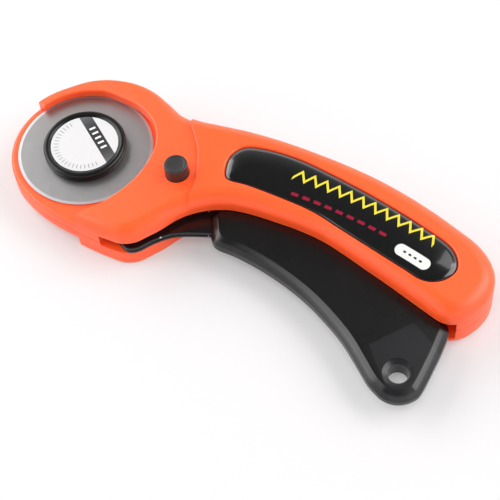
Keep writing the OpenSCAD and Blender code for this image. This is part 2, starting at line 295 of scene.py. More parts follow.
def grained(name, colour, other, rough, grain=0.00006, scale=2600, glow=0.0):
    """Moulded plastic: a faint flow of two near colours, a fine etched skin, uneven gloss."""
    skin, tree, shader = blank_finish(name)
    place = coordinates(tree)
    flow_marks = cloud(tree, place, 38, 3)
    tree.links.new(inked(tree, colour, other, flow_marks), shader.inputs["Base Color"])
    bumped(tree, shader, cloud(tree, place, scale), 0.35, grain)
    gloss = ranged(tree, flow_marks, (0, 1), (rough - 0.05, rough + 0.05))
    tree.links.new(gloss, shader.inputs["Roughness"])
    shader.inputs["Subsurface Weight"].default_value = glow
    shader.inputs["Subsurface Radius"].default_value = (1.0, 0.14, 0.06)
    shader.inputs["Subsurface Scale"].default_value = 0.0022
    return skin


def set_in(piece, name, finish, body, slot, *stands_for, crease=34):
    """Puts a finished piece in the model: to metres, creases kept, on its body."""
    piece.name = name
    mesh = piece.data
    mesh.name = name
    tidy = bmesh.new()
    tidy.from_mesh(mesh)
    bmesh.ops.remove_doubles(tidy, verts=tidy.verts, dist=0.0004)
    bmesh.ops.dissolve_degenerate(tidy, edges=tidy.edges, dist=0.0004)
    tidy.to_mesh(mesh)
    tidy.free()
    mesh.transform(Matrix.Scale(MM, 4))
    mesh.materials.clear()
    mesh.materials.append(finish)
    mesh.shade_smooth()
    mesh.set_sharp_from_angle(angle=math.radians(crease))
    even = piece.modifiers.new("even", "WEIGHTED_NORMAL")
    even.keep_sharp = True
    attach(piece, body)
    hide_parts(*stands_for)


orange = grained("orange_abs", (1.0, 0.108, 0.022), (0.97, 0.098, 0.02), 0.36, glow=0.35)
# Painted light: a faint red emission makes the orange glow, so its shaded walls and recesses stay red
painted_glow_shader = orange.node_tree.nodes["Principled BSDF"]
painted_glow_shader.inputs["Emission Color"].default_value = (1.0, 0.02, 0.004, 1)
painted_glow_shader.inputs["Emission Strength"].default_value = 0.05

seam = 0.3
guard_bottom = 4.0
guard_x = -33.5
pin_hole_r = 2.55
screw_post_r = 3
# The rim is less rounded below the lobe than elsewhere
under_share = [1 - 0.6 * smooth(p.x, -54, -46) * smooth(-p.x, 10, 20) * smooth(-p.y, 0, 4)
               for p in outline]
under_rim = [(drop, depth, 0) for drop, depth in quarter(3.2, 2.8, 7)][::-1]
rear = body_of(stack(outline, under_rim + [(joint_z - seam, 0), (joint_z, seam)], under_share))
carve(rear, lipped(recess, joint_z + 2, 0, 0.8))
guard_rim = [(guard_bottom + drop, depth) for drop, depth in quarter(1.0, 1.0, 4)][::-1]
guard_half = stack(outline, guard_rim + [(joint_z - seam, 0), (joint_z, seam)])
carve(rear, kept_between(guard_half, -100, guard_x), "UNION")
carve_rooms(rear)
for place in screw_places[1:3]:
    carve(rear, pillar(place, screw_post_r, slot_z0 - 0.5, joint_z), "UNION")
carve(rear, pillar(pivot_axis, pin_hole_r, 1.4, joint_z + 1))
lock_foot_r, nut_window_r = 3.05, 8.9
carve(rear, lipped(circle(lock_axis, lock_foot_r), joint_z + 1, 0, 0.3))
carve(rear, swept(blade_axis, nut_window_r, 0, squeeze, guard_bottom - 1, joint_z + 1))
screw_way_r, screw_sink_r, screw_sink = 1.7, 2.8, 3
for place in screw_places:
    carve(rear, pillar(place, screw_way_r, 1, joint_z + 1))
    carve(rear, lipped(circle(place, screw_sink_r), screw_sink, 0, 0.25))
set_in(rear, "rear_shell_moulding", orange, "housing", "shell_plastic", "rear_shell")

# ---------------------------------------------------------------------------------------
# Front shell: the upper half, of the same orange ABS, closed on the rear one by screws.
# The handle's face is a little proud of the head's, which falls gently to the nose. It
# has the recess that the blade turns in, the button's bore and the label's shallow bed.
# ---------------------------------------------------------------------------------------
head_z = 18.0
head_slope = math.tan(math.radians(2.2))
step_x = -15
ledge_z = 11.8
rim_in, rim_up = 4.8, 4.6


def fall(x):
    """How far the head's face has dropped at x."""
    return max(0.0, step_x - x) * head_slope


def sloped(form, above):
    """Lets down whatever stands above a height, along the head's slope."""
    for v in form.verts:
        if v.co.z > above:
            v.co.z -= fall(v.co.x)
    return form


# The rim's rounding dies away along the back of the head to the crescent's nearly square edge
rim_share = [0.2 + 0.8 * max(smooth(p.x, -62, -28), smooth(-p.y, -4, 4)) for p in outline]


def upper_half(face):
    rim = [(face - drop, depth, face) for drop, depth in quarter(rim_in, rim_up, 9)]
    return stack(outline, [(joint_z, seam), (joint_z + seam, 0)] + rim, rim_share)


step_line = flow([(-28.5, 34), (-28.5, 28.1), (-25.4, 23.7), (-22.6, 20.1), (-20.3, 16),
                  (-18.1, 11.1), (-16.7, 6), (-16.1, 1.3), (-15, -3), (-15, -9)], 5, closed=False)
head_side = [Vector(p) for p in ((-15, -40), (-100, -40), (-100, 60), (-28.5, 60))]
front = body_of(upper_half(face_z))
carve(front, lipped((step_line + head_side)[::-1], joint_z - 1, face_z, 0.45))
head = body_of(kept_between(sloped(upper_half(head_z), head_z - rim_up - 0.1), -100, -8))
carve(head, sloped(lipped(recess, joint_z - 1, head_z, 0.55), head_z - 1))
joined = bmesh.new()
joined.from_mesh(head.data)
bpy.data.objects.remove(head)
carve(front, joined, "UNION")
guard_rim = [(ledge_z - drop, depth) for drop, depth in quarter(1.1, 1.0, 5)]
guard_half = stack(outline, [(joint_z, seam), (joint_z + seam, 0)] + guard_rim)
carve(front, kept_between(guard_half, -100, guard_x), "UNION")
blade_room_r, blade_room_z = 23.4, 13
carve(front, pillar(blade_axis, blade_room_r, ledge_z, blade_room_z))
label_marks = [(-9.9, 15.3), (-7.4, 11.2), (0, 11.4), (11.9, 10.9), (23, 9.8), (34.4, 6.8),
               (45.7, 3.8), (56, 1.1), (63.6, -0.6), (69.2, 2), (71.4, 7.7), (67.3, 13.7),
               (57.2, 17.5), (45.8, 20.7), (34.5, 23.3), (23.2, 25.4), (11.9, 27), (1.2, 27),
               (-7, 25.1), (-10.2, 20.5)]
label_loop = flow(label_marks, 16)
label_bed, label_lip = face_z - 1.2, 0.8
carve(front, lipped(label_loop, label_bed, face_z, label_lip))
carve_rooms(front)
pocket_z, spring_z = 15.2, 14.8
spring_room_r, collar_room_r, boss_way_r, hub_r = 6.4, 5.8, 6.6, 3.9
collar_room_z, pin_hole_z, screw_hole_z = 15.9, 16.6, 14.5
pocket = stack(coarse, [(slot_z1 - 1, side_wall), (pocket_z, side_wall)])
carve(front, kept_between(pocket, -8, 75))
carve(front, pillar(pivot_axis, spring_room_r, joint_z - 1, spring_z))
carve(front, pillar(lock_axis, collar_room_r, joint_z - 1, collar_room_z))
carve(front, swept(blade_axis, boss_way_r, 0, squeeze, joint_z - 1, ledge_z + 1))
# Slot for the spring's fixed leg
leg_turn = math.radians(40)
leg_way = Vector((math.cos(leg_turn), math.sin(leg_turn)))
leg_side = 0.7 * Vector((-leg_way.y, leg_way.x))
leg_from, leg_to = 3, 9.6
leg_slot = [pivot_axis + leg_way * reach + side for reach, side in
            ((leg_from, -leg_side), (leg_to, -leg_side), (leg_to, leg_side), (leg_from, leg_side))]
carve(front, stack(leg_slot, [(spring_z - 1.6, 0), (spring_z, 0)]))
carve(front, pillar(pivot_axis, hub_r, 9.9, spring_z + 0.5), "UNION")
for place in screw_places[1:3]:
    carve(front, pillar(place, screw_post_r, joint_z, pocket_z + 0.5), "UNION")
carve(front, pillar(pivot_axis, pin_hole_r, joint_z - 1, pin_hole_z))
lock_face = head_z - fall(lock_axis.x)
button_hole_r, screw_bite_r = 3.87, 1.45
carve(front, lipped(circle(lock_axis, button_hole_r), joint_z - 1, lock_face, 0.25))
for place in screw_places:
    carve(front, pillar(place, screw_bite_r, joint_z - 1, screw_hole_z))
set_in(front, "front_shell_moulding", orange, "housing", "shell_plastic", "front_shell")

# ---------------------------------------------------------------------------------------
# Label: a long printed inlay under a dome of clear resin, bonded in the handle's bed. Its
# print is black with a zigzag stitch in yellow, a running stitch in crimson and a white
# tab with a row of dots. The stitches follow the bend of the handle.
# ---------------------------------------------------------------------------------------
bead_rise, bead_reach = 0.8, 1.9
crown_rise, crown_reach = 0.78, 8
edge_z = face_z - label_lip
label_gap = 0.12
rail_points = 160
across = 28


def nearest(p, loop):
    """Distance from a point to a loop."""
    least = 1e9
    for a, b in zip(loop, loop[1:] + loop[:1]):
        along = b - a
        t = min(1, max(0, (p - a).dot(along) / along.length_squared))
        least = min(least, (p - a - along * t).length)
    return least


label_edge = drawn_in(label_loop, label_gap)
# The loop's point at the label's near end, where its two long sides part
near_end = 312
lower_rail = [label_edge[(near_end + i) % len(label_edge)] for i in range(rail_points + 1)]
upper_rail = [label_edge[near_end - i] for i in range(rail_points + 1)]
dome = bmesh.new()
sheet = bmesh.ops.create_grid(dome, x_segments=rail_points, y_segments=across, size=0.5)
for v in sheet["verts"]:
    i = round((v.co.x + 0.5) * rail_points)
    p = lower_rail[i].lerp(upper_rail[i], (1 + math.sin(math.pi * v.co.y)) / 2)
    inward = nearest(p, label_edge[::2])
    bead = bead_rise * math.sqrt(1 - max(0, 1 - inward / bead_reach) ** 2)
    crown = crown_rise * (1 - max(0, 1 - inward / crown_reach) ** 2)
    v.co = (*p, edge_z + bead + crown)
bmesh.ops.remove_doubles(dome, verts=dome.verts, dist=0.01)
skirt = [e for e in dome.edges if e.is_boundary]
skirt = bmesh.ops.extrude_edge_only(dome, edges=skirt)["geom"]
for v in skirt:
    if isinstance(v, bmesh.types.BMVert):
        v.co.z = label_bed
bmesh.ops.holes_fill(dome, edges=[e for e in dome.edges if e.is_boundary])
bmesh.ops.recalc_face_normals(dome, faces=dome.faces)
bend_centre, bend_r = Vector((8.8, -181.8)), 200
wrap = dome.loops.layers.uv.new("along_handle")
for face in dome.faces:
    for corner in face.loops:
        out = corner.vert.co.to_2d() - bend_centre
        turn = math.pi / 2 - math.atan2(out.y, out.x)
        corner[wrap].uv = (turn * bend_r, out.length - bend_r)
label = body_of(dome)


def calc(tree, operation, *values):
    """Math node fed by numbers or sockets, as an output socket."""
    node = tree.nodes.new("ShaderNodeMath")
    node.operation = operation
    for socket, value in zip(node.inputs, values):
        if isinstance(value, (int, float)):
            socket.default_value = value
        else:
            tree.links.new(value, socket)
    return node.outputs[0]


def within(tree, value, low, high):
    """1 where a value lies between two limits, else 0."""
    return calc(tree, "MULTIPLY", calc(tree, "GREATER_THAN", value, low),
                calc(tree, "LESS_THAN", value, high))


def parted(tree, place):
    """The X, Y and Z of a place socket."""
    node = tree.nodes.new("ShaderNodeSeparateXYZ")
    tree.links.new(place, node.inputs["Vector"])
    return node.outputs["X"], node.outputs["Y"], node.outputs["Z"]


def length_of(tree, x, y):
    """Distance from the centre, as an output socket."""
    return calc(tree, "SQRT", calc(tree, "ADD", calc(tree, "MULTIPLY", x, x),
                                   calc(tree, "MULTIPLY", y, y)))


def bar(tree, u, v, centre_u, centre_v, half_u, half_v):
    """Mask of a round-ended bar."""
    du = calc(tree, "MAXIMUM", calc(tree, "SUBTRACT", calc(
        tree, "ABSOLUTE", calc(tree, "SUBTRACT", u, centre_u)), half_u - half_v), 0)
    dv = calc(tree, "SUBTRACT", v, centre_v)
    return calc(tree, "LESS_THAN", length_of(tree, du, dv), half_v)


resin, tree, shader = blank_finish("domed_resin")
print_map = tree.nodes.new("ShaderNodeUVMap")
print_map.uv_map = "along_handle"
u, v, _ = parted(tree, print_map.outputs["UV"])
black = inked(tree, (0.0035, 0.004, 0.004), (0.006, 0.0065, 0.006),
              cloud(tree, print_map.outputs["UV"], 0.35))
zig_from, zig_to, zig_v, zig_rise, zig_pitch, zig_half = 3.2, 53.6, 2.2, 1.75, 4.2, 0.72
zig = calc(tree, "PINGPONG", calc(tree, "SUBTRACT", u, zig_from), zig_pitch / 2)
zig = calc(tree, "MULTIPLY", calc(tree, "SUBTRACT", zig, zig_pitch / 4), 4 * zig_rise / zig_pitch)
thread = calc(tree, "LESS_THAN", calc(tree, "ABSOLUTE", calc(
    tree, "SUBTRACT", calc(tree, "SUBTRACT", v, zig_v), zig)), zig_half)
thread = calc(tree, "MULTIPLY", thread, within(tree, u, zig_from, zig_to))
ink = inked(tree, black, (0.66, 0.55, 0.04), thread)


def dashes(start, end, pitch, gap, low, high):
    """Mask of a row of dashes along the handle."""
    beat = calc(tree, "PINGPONG", calc(tree, "SUBTRACT", u, start), pitch / 2)
    row = calc(tree, "MULTIPLY", calc(tree, "GREATER_THAN", beat, gap / 2),
               within(tree, u, start, end))
    return calc(tree, "MULTIPLY", row, within(tree, v, low, high))


ink = inked(tree, ink, (0.25, 0.009, 0.03), dashes(4.6, 40.6, 4.0, 1.5, -5.35, -4.25))
ink = inked(tree, ink, (0.66, 0.66, 0.645), bar(tree, u, v, 51.0, -6.4, 6.4, 2.05))
ink = inked(tree, ink, (0.02, 0.02, 0.02), dashes(47.0, 55.0, 2.0, 1.0, -6.75, -6.05))
tree.links.new(ink, shader.inputs["Base Color"])
shader.inputs["Roughness"].default_value = 0.16
shader.inputs["Coat Weight"].default_value = 0.6
shader.inputs["Coat Roughness"].default_value = 0.03
set_in(label, "domed_label", resin, "housing", "label_gloss", "handle_label")

# ---------------------------------------------------------------------------------------
# Pivot: a ground steel pin with eased ends, blind in both shells, and the flanged acetal
# bush pressed in the lever, which turns on it.
# ---------------------------------------------------------------------------------------


def eased(profile, radius):
    """A profile of (radius, height) points with its inner corners rounded."""
    profile = [Vector(p) for p in profile]
    line = [profile[0]]
    for a, b, c in zip(profile, profile[1:], profile[2:]):
        back, ahead = a - b, c - b
        reach = min(radius, back.length * 0.45, ahead.length * 0.45)
        start, end = b + back.normalized() * reach, b + ahead.normalized() * reach
        for t in (0, 0.34, 0.67, 1):
            line.append(start.lerp(b, t).lerp(b.lerp(end, t), t))
    return line + [profile[-1]]


def lathe(profile, centre, steps=96, ease=0.0):
    """Solid of revolution: a profile spun about an upright axis."""
    profile = eased(profile, ease) if ease else [Vector(p) for p in profile]
    form = bmesh.new()
    points = [form.verts.new((centre.x + p.x, centre.y, p.y)) for p in profile]
    edges = [form.edges.new(pair) for pair in zip(points, points[1:])]
    bmesh.ops.spin(form, geom=points + edges, cent=(centre.x, centre.y, 0), axis=(0, 0, 1),
                   angle=math.tau, steps=steps, use_merge=True, use_duplicate=False)
    bmesh.ops.remove_doubles(form, verts=form.verts, dist=0.001)
    bmesh.ops.recalc_face_normals(form, faces=form.faces)
    return form


def metal(name, colour, rough, centre, turned=0.0, brushed=0.0, metallic=1.0):
    """Steel with fine turning rings about an axis, or a fine all-over grain."""
    skin, tree, shader = blank_finish(name)
    place = coordinates(tree)
    centred = tree.nodes.new("ShaderNodeMapping")
    centred.inputs["Location"].default_value = (-centre.x * MM, -centre.y * MM, 0)
    tree.links.new(place, centred.inputs["Vector"])
    x, y, z = parted(tree, centred.outputs["Vector"])
    lines = tree.nodes.new("ShaderNodeCombineXYZ")
    rings_outward, rings_upward = 5200, 3000
    tree.links.new(calc(tree, "MULTIPLY", length_of(tree, x, y), rings_outward), lines.inputs["X"])
    tree.links.new(calc(tree, "MULTIPLY", z, rings_upward), lines.inputs["Y"])
    rings = tree.nodes.new("ShaderNodeTexNoise")
    rings.noise_dimensions = "2D"
    rings.inputs["Scale"].default_value = 1
    rings.inputs["Detail"].default_value = 4
    tree.links.new(lines.outputs["Vector"], rings.inputs["Vector"])
    grain = cloud(tree, place, 220, 5)
    mark = calc(tree, "ADD", calc(tree, "MULTIPLY", rings.outputs["Fac"], turned),
                calc(tree, "MULTIPLY", grain, brushed))
    shade = tuple(c * 0.86 for c in colour)
    tree.links.new(inked(tree, colour, shade, grain), shader.inputs["Base Color"])
    bumped(tree, shader, mark, 0.5, 0.00004)
    gloss = ranged(tree, grain, (0, 1), (rough - 0.06, rough + 0.06))
    tree.links.new(gloss, shader.inputs["Roughness"])
    shader.inputs["Metallic"].default_value = metallic
    return skin


pin_steel = metal("ground_steel", (0.62, 0.62, 0.63), 0.28, pivot_axis, turned=0.6)
pin_r, pin_z0, pin_z1 = 2.5, 1.5, 16.5
pin_profile = [(0, pin_z0), (pin_r, pin_z0), (pin_r, pin_z1), (0, pin_z1)]
pin = body_of(lathe(pin_profile, pivot_axis, ease=0.35))
set_in(pin, "pivot_pin_ground", pin_steel, "housing", "pin_steel", "pivot_pin")

plate_z0, plate_z1 = 6.8, 9.6
acetal = grained("natural_acetal", (0.82, 0.80, 0.74), (0.78, 0.76, 0.69), 0.4)
bush_r, flange_r, flange = 4, 5.2, 0.25
bush_profile = [(pin_hole_r, plate_z0 - flange), (flange_r, plate_z0 - flange),
                (flange_r, plate_z0), (bush_r, plate_z0), (bush_r, plate_z1),
                (flange_r, plate_z1), (flange_r, plate_z1 + flange),
                (pin_hole_r, plate_z1 + flange), (pin_hole_r, plate_z0 - flange)]
bush = body_of(lathe(bush_profile, pivot_axis, ease=0.08))
set_in(bush, "pivot_bush_flanged", acetal, "trigger", "bush_plastic", "pivot_bush")

# ---------------------------------------------------------------------------------------
# Lever: one flat plate of black glass-filled nylon. It carries the spindle on a low boss,
# turns on the bush, has the lock's curved slot, and ends in a tang inside the grip. Its
# edge has a shallow groove all round, and its polished face a few pale specks.
# ---------------------------------------------------------------------------------------
plate_loop = flow(
    arc(blade_axis, 10, 60, 235, 6)
    + [(-54, -4.6), (-41, -13.7), (-36.5, -15.8), (-31.6, -18.9), (-28.6, -19.9), (-25.6, -18.3),
       (-22.3, -13.8), (-17.8, -9.4), (-11, -6.2), (-3, -4), (10, -4), (24, -7), (40, -13.5),
       (51, -20), (54.5, -19.5), (53, -14.5), (40, -6.5), (24, 0), (10, 3.6), (-2, 4.4),
       (-10, 6.5), (-15.3, 12.5), (-22, 16.6), (-32, 16.8), (-43, 16.8)], 5)
edge_soft = [(drop, depth) for drop, depth in quarter(0.35, 0.35, 3)]
plate_levels = ([(plate_z0 + drop, depth) for drop, depth in edge_soft[::-1]]
                + [(7.85, 0), (8.0, 0.3), (8.35, 0.3), (8.5, 0)]
                + [(plate_z1 - drop, depth) for drop, depth in edge_soft])
lever = body_of(stack(plate_loop, plate_levels))
boss_r, boss_top, boss_ease = 6, 11.2, 0.3
boss_levels = [(plate_z1 - 1, 0), (boss_top - boss_ease, 0), (boss_top, boss_ease)]
carve(lever, stack(circle(blade_axis, boss_r), boss_levels), "UNION")
key_r, key_flat = 3.65, 2.85
flat_turn = math.degrees(math.asin(key_flat / key_r))
key_loop = (arc(blade_axis, key_r, -flat_turn, flat_turn, 12)
            + arc(blade_axis, key_r, 180 - flat_turn, 180 + flat_turn, 12))
well_above, lock_slot_r, wire_hole_r = 20, 3.4, 0.65
carve(lever, stack(key_loop, [(0, 0), (well_above, 0)]))
carve(lever, pillar(pivot_axis, bush_r, 0, well_above))
carve(lever, swept(lock_axis, lock_slot_r, -squeeze, 0, 0, well_above))
hole_turn = math.radians(200)
spring_hole = pivot_axis + 6.7 * Vector((math.cos(hole_turn), math.sin(hole_turn)))
carve(lever, pillar(spring_hole, wire_hole_r, 0, well_above))

nylon = grained("polished_nylon", (0.005, 0.004, 0.004), (0.007, 0.006, 0.006), 0.22, grain=0.00002)
tree = nylon.node_tree
shader = tree.nodes["Principled BSDF"]
place = coordinates(tree)
specks = tree.nodes.new("ShaderNodeTexVoronoi")
specks.inputs["Scale"].default_value = 330
tree.links.new(place, specks.inputs["Vector"])
speck = calc(tree, "MULTIPLY", calc(tree, "LESS_THAN", specks.outputs["Distance"], 0.14),
             calc(tree, "GREATER_THAN", cloud(tree, place, 210), 0.53))
dark = shader.inputs["Base Color"].links[0].from_socket
tree.links.new(inked(tree, dark, (0.55, 0.54, 0.54), speck), shader.inputs["Base Color"])
set_in(lever, "lever_arm", nylon, "trigger", "lever_black", "lever_plate")

# ---------------------------------------------------------------------------------------
# Grip: black satin moulding over the lever's tang, which the fingers squeeze. Its edges
# are broadly bevelled and rounded, and its tail has a flat that falls away round the
# hanging hole, which is countersunk from both sides.
# ---------------------------------------------------------------------------------------
grip_loop = flow(
    [(-9.6, 1), (-8, -2.2), (-6.1, -5.4), (-3.2, -7.6), (3.5, -8), (12, -9.3), (21, -11.6),
     (30, -14.8), (38.5, -19), (46.5, -23.9), (53.6, -29.6), (58.8, -34)]
    + arc(hang_axis, 8.5, 236, 346, 5)
    + [(75.5, -23), (75.7, -14.5), (75, -8.3), (70.4, -5), (57, 0), (43, 4.6), (27, 8.8),
       (11, 10), (-1.5, 8.6), (-7.8, 5.6)], 6)
grip_mid = (slot_z0 + slot_z1) / 2
grip_z0, grip_z1 = grip_mid - 3.8, grip_mid + 3.8
grip_rim = eased([(3, 0), (2.4, 0), (1.05, 1.25), (0, 2.8), (0, 3.4)], 0.5)
form = stack(grip_loop, [(grip_z0 + drop, depth) for drop, depth in grip_rim[::-1]]
             + [(grip_z1 - drop, depth) for drop, depth in grip_rim])
flat_start = Vector((57.2, -21.1))
flat_way = Vector((0.78, -0.62)).normalized()
flat_fall = math.tan(math.radians(2.6))
bmesh.ops.bisect_plane(form, geom=form.verts[:] + form.edges[:] + form.faces[:],
                       plane_co=(*flat_start, 0), plane_no=(*flat_way, 0))
for vert in form.verts:
    past = (vert.co.to_2d() - flat_start).dot(flat_way)
    if past > 0 and vert.co.z > grip_mid:
        vert.co.z -= past * flat_fall
grip = body_of(form)
carve(grip, stack(plate_loop, [(plate_z0, -0.04), (plate_z1, -0.04)]))
hang_r, sink_r, sink = 3.2, 4.8, 1.2
hang_fall = (hang_axis - flat_start).dot(flat_way) * flat_fall
carve(grip, stack(circle(hang_axis, hang_r), [
    (grip_z0 - 1, hang_r - sink_r), (grip_z0, hang_r - sink_r), (grip_z0 + sink, 0),
    (grip_z1 - sink, 0), (grip_z1 - hang_fall, hang_r - sink_r), (grip_z1 + 1, hang_r - sink_r)]))
satin = grained("satin_black", (0.003, 0.003, 0.0032), (0.0045, 0.0045, 0.0048), 0.27,
                grain=0.00005, scale=2200)
# Painted sheen round the hole: a paler patch inside three straight edges, standing in for the light
# that the tail's sloping flat catches
tree = satin.node_tree
shader = tree.nodes["Principled BSDF"]
x, y, _ = parted(tree, coordinates(tree))
mark = 1
for start, way in ((flat_start, (0.783, -0.622)), ((56, -24.5), (0.747, 0.665)),
                   ((65.3, -11.7), (-0.492, -0.871))):
    ahead = calc(tree, "MULTIPLY", calc(tree, "SUBTRACT", x, start[0] * MM), way[0])
    aside = calc(tree, "MULTIPLY", calc(tree, "SUBTRACT", y, start[1] * MM), way[1])
    past = calc(tree, "GREATER_THAN", calc(tree, "ADD", ahead, aside), 0)
    mark = calc(tree, "MULTIPLY", mark, past)
dark = shader.inputs["Base Color"].links[0].from_socket
# Lays the painted sheen's paler colour inside the patch
tree.links.new(inked(tree, dark, (0.012, 0.012, 0.0135), mark), shader.inputs["Base Color"])
set_in(grip, "grip_moulding", satin, "trigger", "grip_black", "trigger_grip")

# ---------------------------------------------------------------------------------------
# Return spring: round spring wire wound three and a half turns about the pivot's boss,
# one leg down in the lever, the other in a slot of the front shell.
# ---------------------------------------------------------------------------------------
wire_r, coil_r, turns, rise = 0.45, 5.4, 3.5, 1.02
low_z = plate_z1 + 1
route = [Vector((*spring_hole, plate_z0 + 0.8)), Vector((*spring_hole, low_z - 0.5)),
         Vector((spring_hole.x + 0.5, spring_hole.y - 0.8, low_z))]
for degree in range(0, int(turns * 360) + 1, 6):
    swing = math.radians(220 + degree)
    route.append(Vector((pivot_axis.x + coil_r * math.cos(swing),
                         pivot_axis.y + coil_r * math.sin(swing), low_z + rise * degree / 360)))
leg_end = pivot_axis + 9 * leg_way
route.append(Vector((*leg_end, low_z + rise * turns)))
line = bpy.data.curves.new("wire", "CURVE")
line.dimensions = "3D"
line.bevel_depth = wire_r
line.bevel_resolution = 3
line.use_fill_caps = True
strand = line.splines.new("POLY")
strand.points.add(len(route) - 1)
for point, p in zip(strand.points, route):
    point.co = (*p, 1)
strung = bpy.data.objects.new("wire", line)
bpy.context.collection.objects.link(strung)
seen = strung.evaluated_get(bpy.context.evaluated_depsgraph_get())
wound = bpy.data.objects.new("spring", bpy.data.meshes.new_from_object(seen))
bpy.context.collection.objects.link(wound)
bpy.data.objects.remove(strung)
spring_steel = metal("spring_steel", (0.5, 0.5, 0.51), 0.3, pivot_axis, brushed=0.4)
set_in(wound, "torsion_spring", spring_steel, "housing", "spring_steel", "return_spring")

# ---------------------------------------------------------------------------------------
# Spindle: a nickel-plated bolt whose keyed shank can't turn in the lever, with a round
# shoulder for the blade and a thread for the nut. A plastic washer spaces the blade from
# the boss; behind the lever are a waved spring washer, a flat washer and the finger nut.
# ---------------------------------------------------------------------------------------
nickel = metal("nickel_plate", (0.58, 0.57, 0.55), 0.26, blade_axis, turned=0.5, brushed=0.2)
cap_z0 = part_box("bolt_cap")[0].z / MM
cap_z1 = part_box("bolt_cap")[1].z / MM
blade_z0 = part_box("blade")[0].z / MM
blade_z1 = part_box("blade")[1].z / MM
shoulder_r, bolt_head_r, bolt_head_low, bolt_head_high = 3.95, 8, 0.6, 1.8
bolt_profile = [(0, cap_z0 + bolt_head_high), (bolt_head_r, cap_z0 + bolt_head_high),
                (bolt_head_r, cap_z0 + bolt_head_low), (shoulder_r, cap_z0 + bolt_head_low),
                (shoulder_r, boss_top), (0, boss_top)]
bolt = body_of(lathe(bolt_profile, blade_axis, ease=0.15))
shank_r, shank_turn = 3.6, 51
inner_key = (arc(blade_axis, shank_r, -shank_turn, shank_turn, 12)
             + arc(blade_axis, shank_r, 180 - shank_turn, 180 + shank_turn, 12))
carve(bolt, stack(inner_key, [(plate_z0, 0), (boss_top + 0.2, 0)]), "UNION")
thread_pitch, thread_top, thread_end = 0.7, plate_z0 + 0.1, 1.4
threads = [(0, thread_end), (2.3, thread_end)]
crest = thread_end + 0.4
while crest < thread_top - thread_pitch:
    threads += [(2.55, crest - thread_pitch / 4), (2.9, crest + thread_pitch / 4)]
    crest += thread_pitch
threads += [(2.6, thread_top), (0, thread_top)]
carve(bolt, lathe(threads, blade_axis, steps=48), "UNION")
set_in(bolt, "spindle_bolt_keyed", nickel, "trigger", "nut_steel", "spindle_bolt")


def ring(r_in, r_out, low, high, centre, ease=0.06):
    """Washer: an eased square section spun about its axis."""
    return lathe([(r_in, (low + high) / 2), (r_in, low), (r_out, low), (r_out, high),
                  (r_in, high), (r_in, (low + high) / 2)], centre, ease=ease)


black_acetal = grained("black_acetal", (0.022, 0.021, 0.021), (0.028, 0.026, 0.026), 0.4)
spacer = body_of(ring(4.0, 6, boss_top + 0.02, blade_z0 - 0.05, blade_axis))
set_in(spacer, "blade_spacer", black_acetal, "trigger", "cap_black", "blade_washer")

waved = ring(3.2, 6.2, plate_z0 - 0.45, plate_z0 - 0.17, blade_axis)
for vert in waved.verts:
    out = vert.co.to_2d() - blade_axis
    vert.co.z += 0.13 * math.sin(3 * math.atan2(out.y, out.x))
wave = body_of(waved)
set_in(wave, "waved_washer", spring_steel, "trigger", "spring_steel", "wave_washer")
flat = body_of(ring(3.1, 6.8, plate_z0 - 1.2, plate_z0 - 0.62, blade_axis))
set_in(flat, "plain_washer", nickel, "trigger", "nut_steel", "flat_washer")

nut_r, flutes = 8, 20
nut_loop = []
for i in range(flutes * 12):
    turn = math.tau * i / (flutes * 12)
    wave_in = max(0.0, math.cos(turn * flutes)) ** 1.5 * 0.55
    nut_loop.append(blade_axis + (nut_r - wave_in) * Vector((math.cos(turn), math.sin(turn))))
nut_top = plate_z0 - 1.22
nut_edge = quarter(0.4, 0.4, 3)
nut = body_of(stack(nut_loop, [(2 + drop, depth) for drop, depth in nut_edge[::-1]]
                    + [(nut_top - drop, depth) for drop, depth in nut_edge]))
carve(nut, lathe([(0, 1.6), (5, 1.6), (5, 2.5), (0, 2.5)], blade_axis, ease=0.25), "UNION")
carve(nut, lathe([(0, 0.5), (3.5, 0.5), (3.5, 1.6), (2.93, 2.1), (2.93, 9), (0, 9)], blade_axis))
set_in(nut, "finger_nut", nickel, "trigger", "nut_steel", "spindle_nut")

# ---------------------------------------------------------------------------------------
# Blade: a 45 mm disc of ground tool steel, 0.3 mm thick, with a bright bevel ground to an
# edge from both sides and a round bore that turns on the bolt's shoulder.
# ---------------------------------------------------------------------------------------
blade_r = (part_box("blade")[1].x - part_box("blade")[0].x) / 2 / MM
bore_r, bevel = 4, 0.95
blade_mid = (blade_z0 + blade_z1) / 2
blade_profile = [(bore_r, blade_z0), (blade_r - bevel, blade_z0), (blade_r, blade_mid - 0.02),
                 (blade_r, blade_mid + 0.02), (blade_r - bevel, blade_z1), (bore_r, blade_z1),
                 (bore_r, blade_z0)]
disc = body_of(lathe(blade_profile, blade_axis, steps=240))
tool_steel = metal("tool_steel", (0.40, 0.388, 0.388), 0.45, blade_axis, turned=0.6, brushed=0.15)
set_in(disc, "blade_disc", tool_steel, "blade", "blade_steel", "blade", crease=3)
bright = metal("bright_bevel", (0.50, 0.50, 0.51), 0.42, blade_axis, turned=0.3, metallic=0.5)
disc.data.materials.append(bright)
for face in disc.data.polygons:
    out = face.center.to_2d() / MM - blade_axis
    if out.length > blade_r - bevel + 0.1:
        face.material_index = 1

